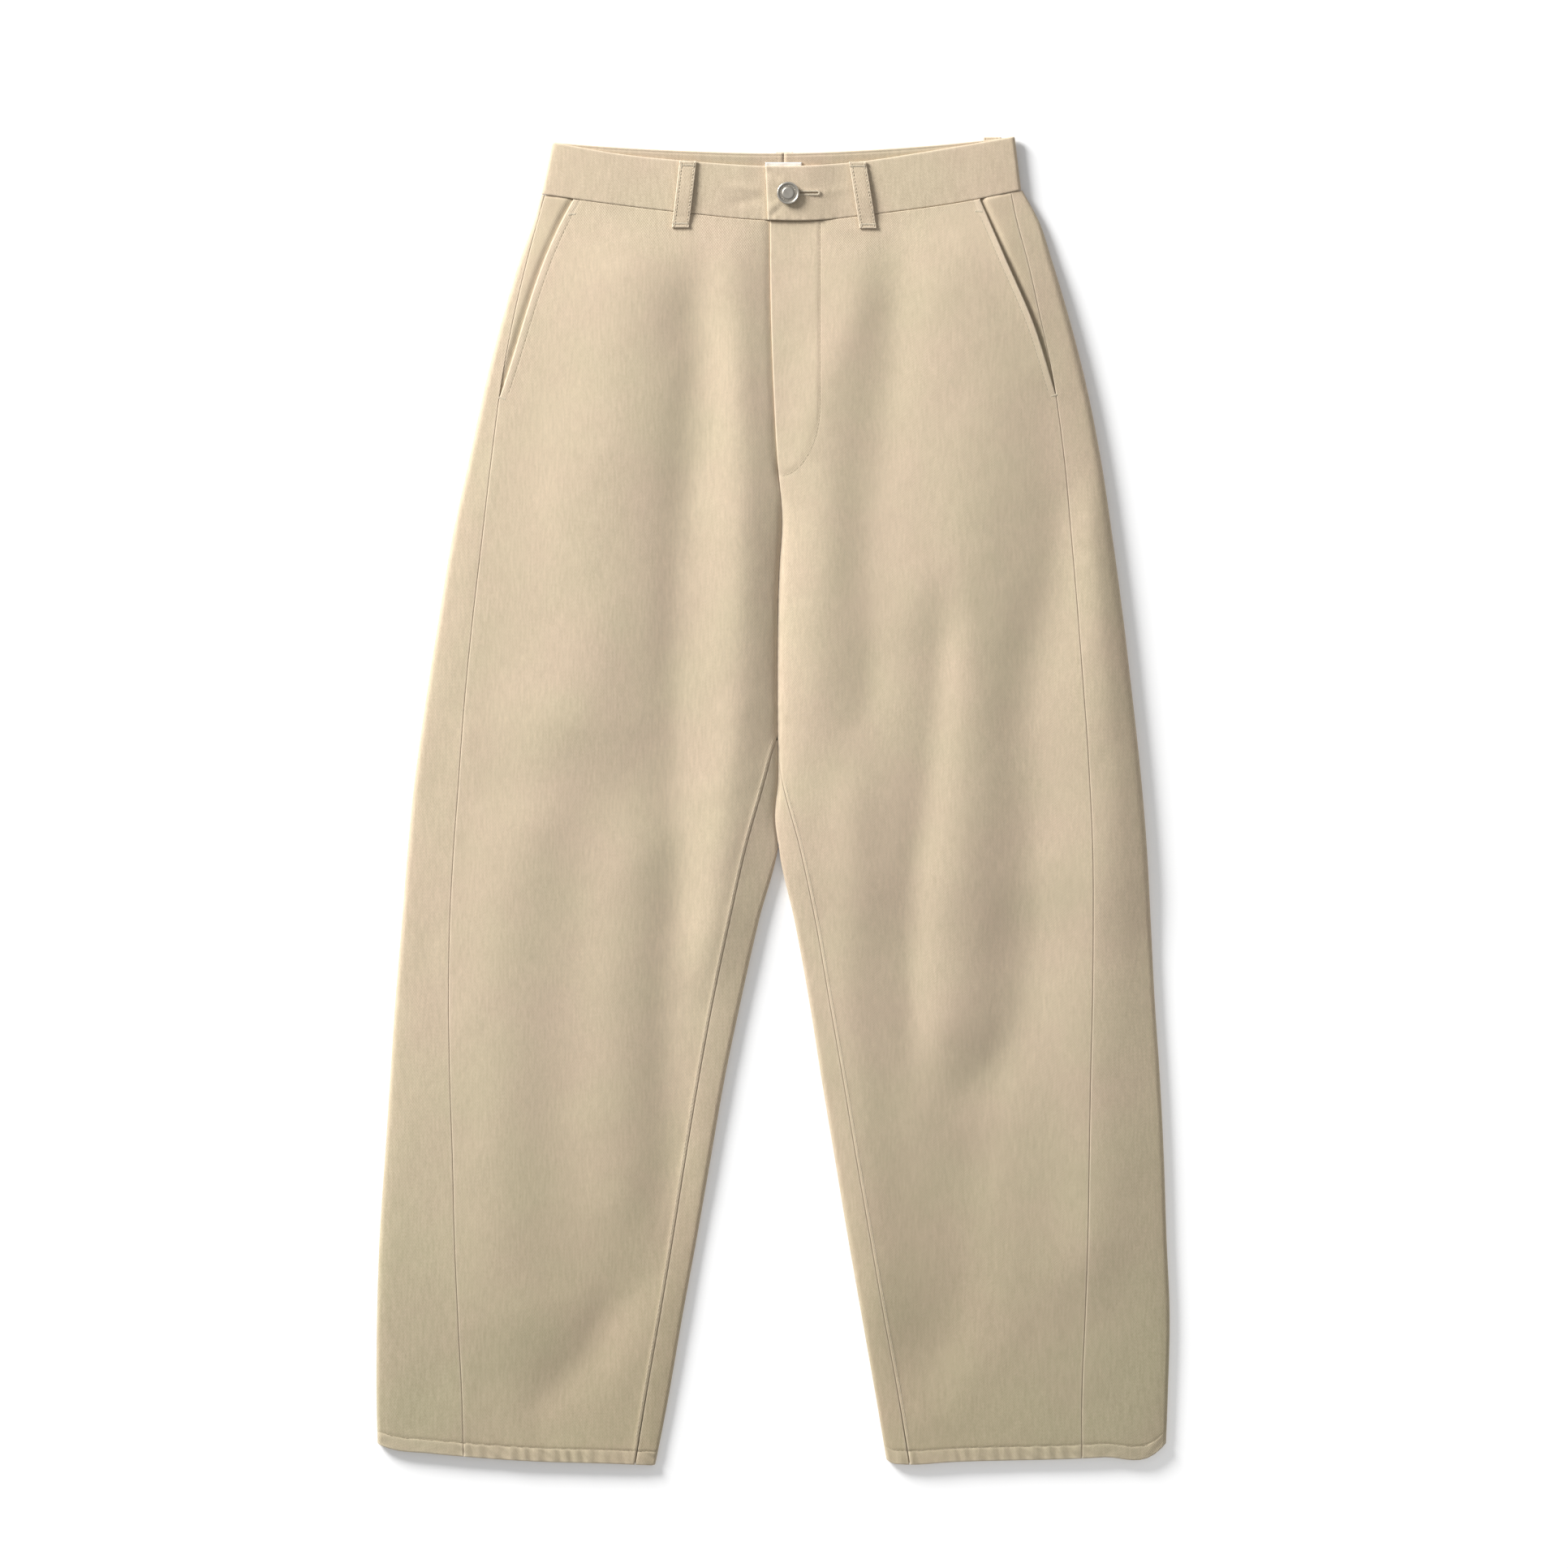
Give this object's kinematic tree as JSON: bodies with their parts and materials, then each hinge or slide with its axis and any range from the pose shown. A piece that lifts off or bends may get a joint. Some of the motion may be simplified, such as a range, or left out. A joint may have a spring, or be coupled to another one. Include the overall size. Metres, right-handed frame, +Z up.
{
  "type": "barrel leg trousers, laid flat",
  "caption": "Barrel leg trousers in sand cotton twill, laid flat on their back, with a buttoned waistband, slanted pockets and belt loops.",
  "frame": {"origin": "middle of the garment's box, on the surface it lies on", "axes": "+X across the garment towards the wearer's left leg, +Y from the hems up to the waist, +Z up from the surface"},
  "size_m": [0.6009, 1.0062, 0.0151],
  "materials": {
    "twill": "matte sand cotton twill",
    "button_metal": "aged nickel",
    "label_cloth": "plain white woven label"
  },
  "bodies": {
    "root": {"front_right": "twill", "front_left": "twill", "back_right": "twill", "back_left": "twill", "pocket_facing_right": "twill", "pocket_facing_left": "twill", "waistband_right": "twill", "waistband_left": "twill", "belt_loop_front_right": "twill", "belt_loop_front_left": "twill", "belt_loop_centre_back": "twill", "belt_loop_back_right": "twill", "belt_loop_back_left": "twill", "button": "button_metal", "label": "label_cloth"}
  },
  "joints": []
}
